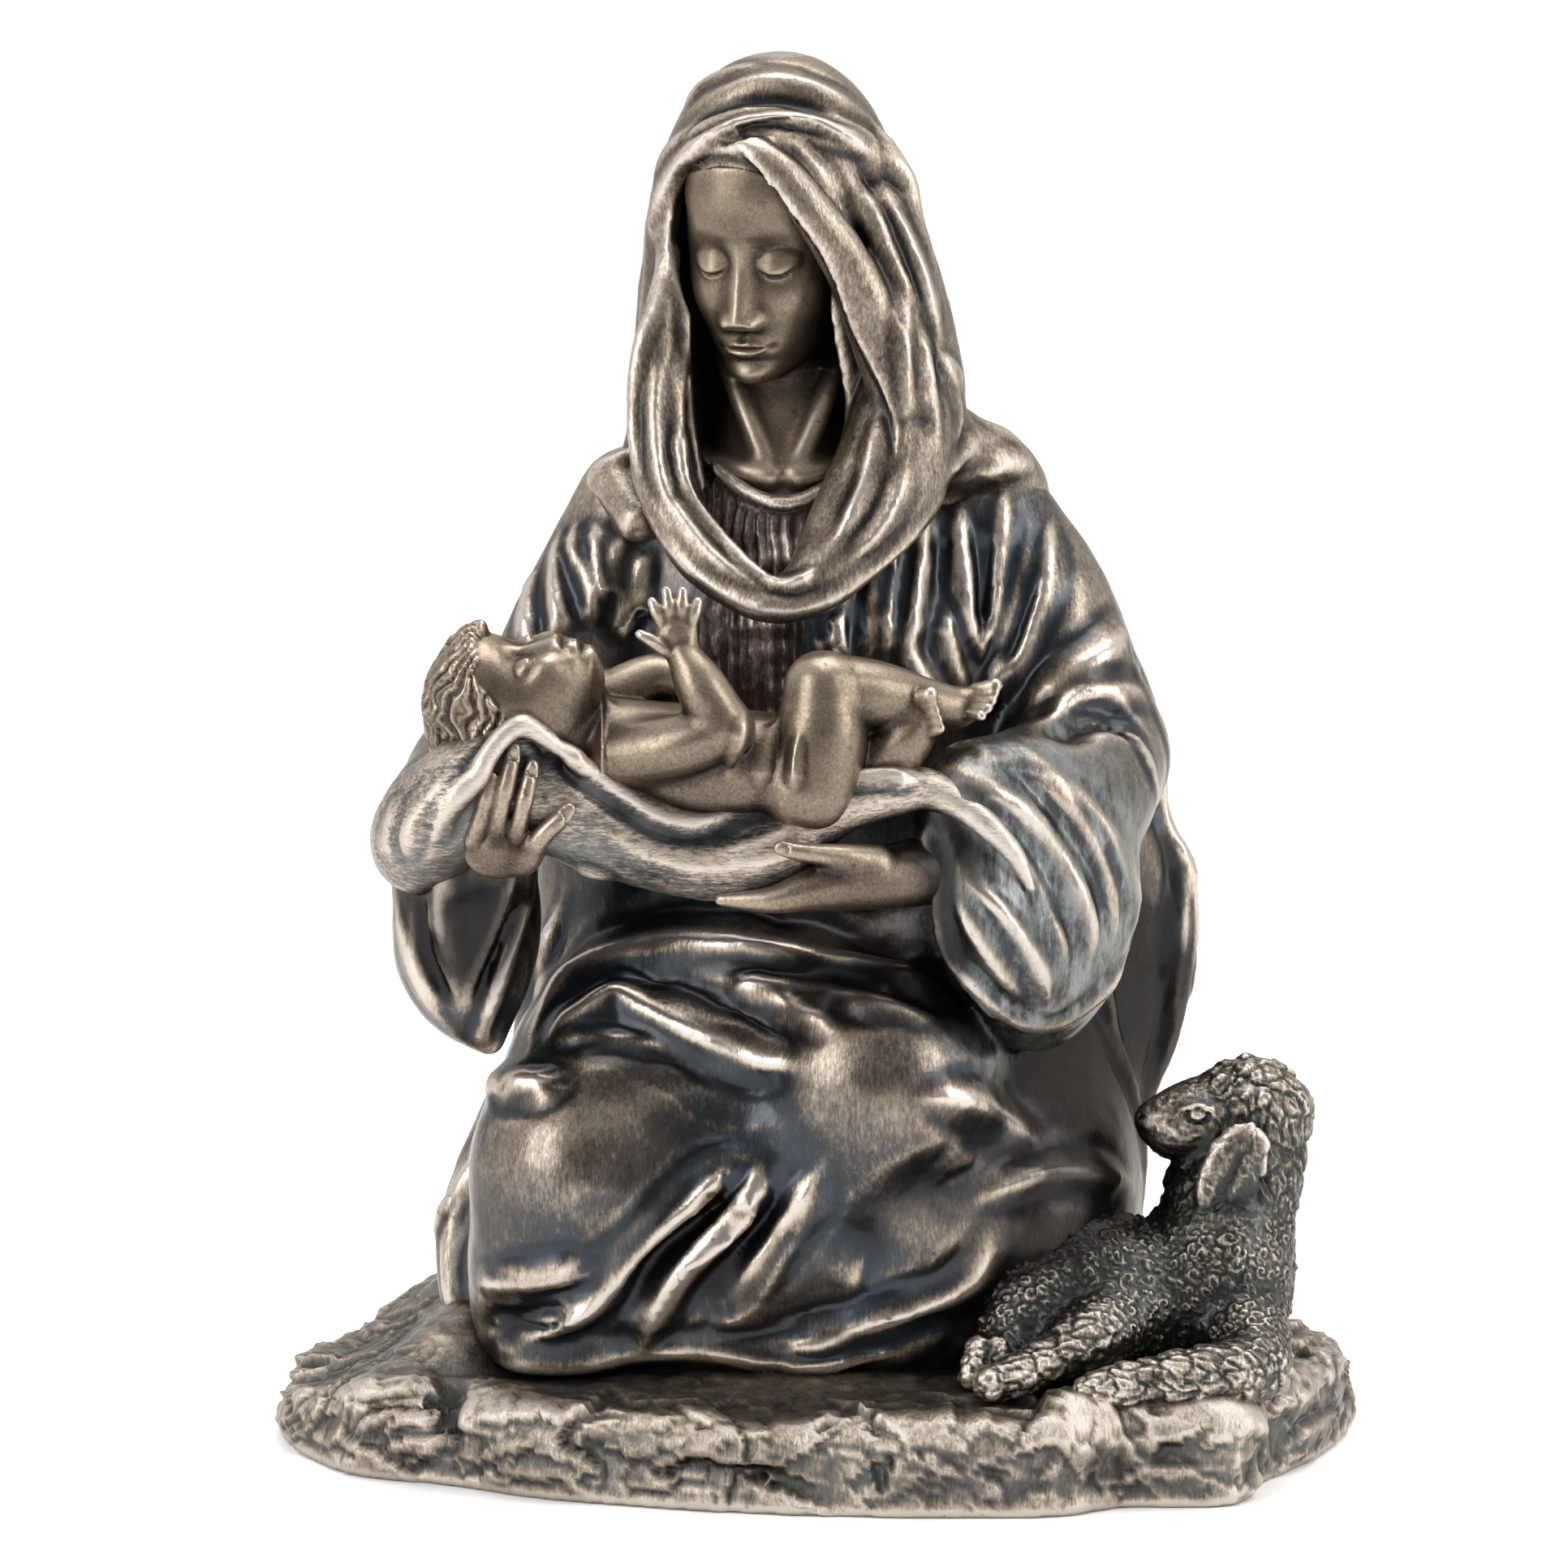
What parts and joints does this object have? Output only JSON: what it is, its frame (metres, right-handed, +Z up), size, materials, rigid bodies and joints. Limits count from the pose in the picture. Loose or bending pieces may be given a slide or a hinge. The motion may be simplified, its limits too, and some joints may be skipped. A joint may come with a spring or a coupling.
{
  "type": "madonna and child statue",
  "caption": "Tabletop statue of a seated veiled mother holding a child on a cloth, with a lamb at her side, on a rough rock base, in a dark bronze finish.",
  "frame": {"origin": "middle of the flat underside's box, on the surface that the statue stands on", "axes": "+Z up, -Y the way the figure faces, +X to the viewer's right"},
  "size_m": [0.157, 0.1019, 0.1998],
  "materials": {
    "bronze": "cold-cast bronze: dark brown and blue-black patina, golden rubbed crests, thin grey-green wash on some of the cloth"
  },
  "bodies": {
    "root": {"madonna_and_child_statue": "bronze"}
  },
  "joints": []
}
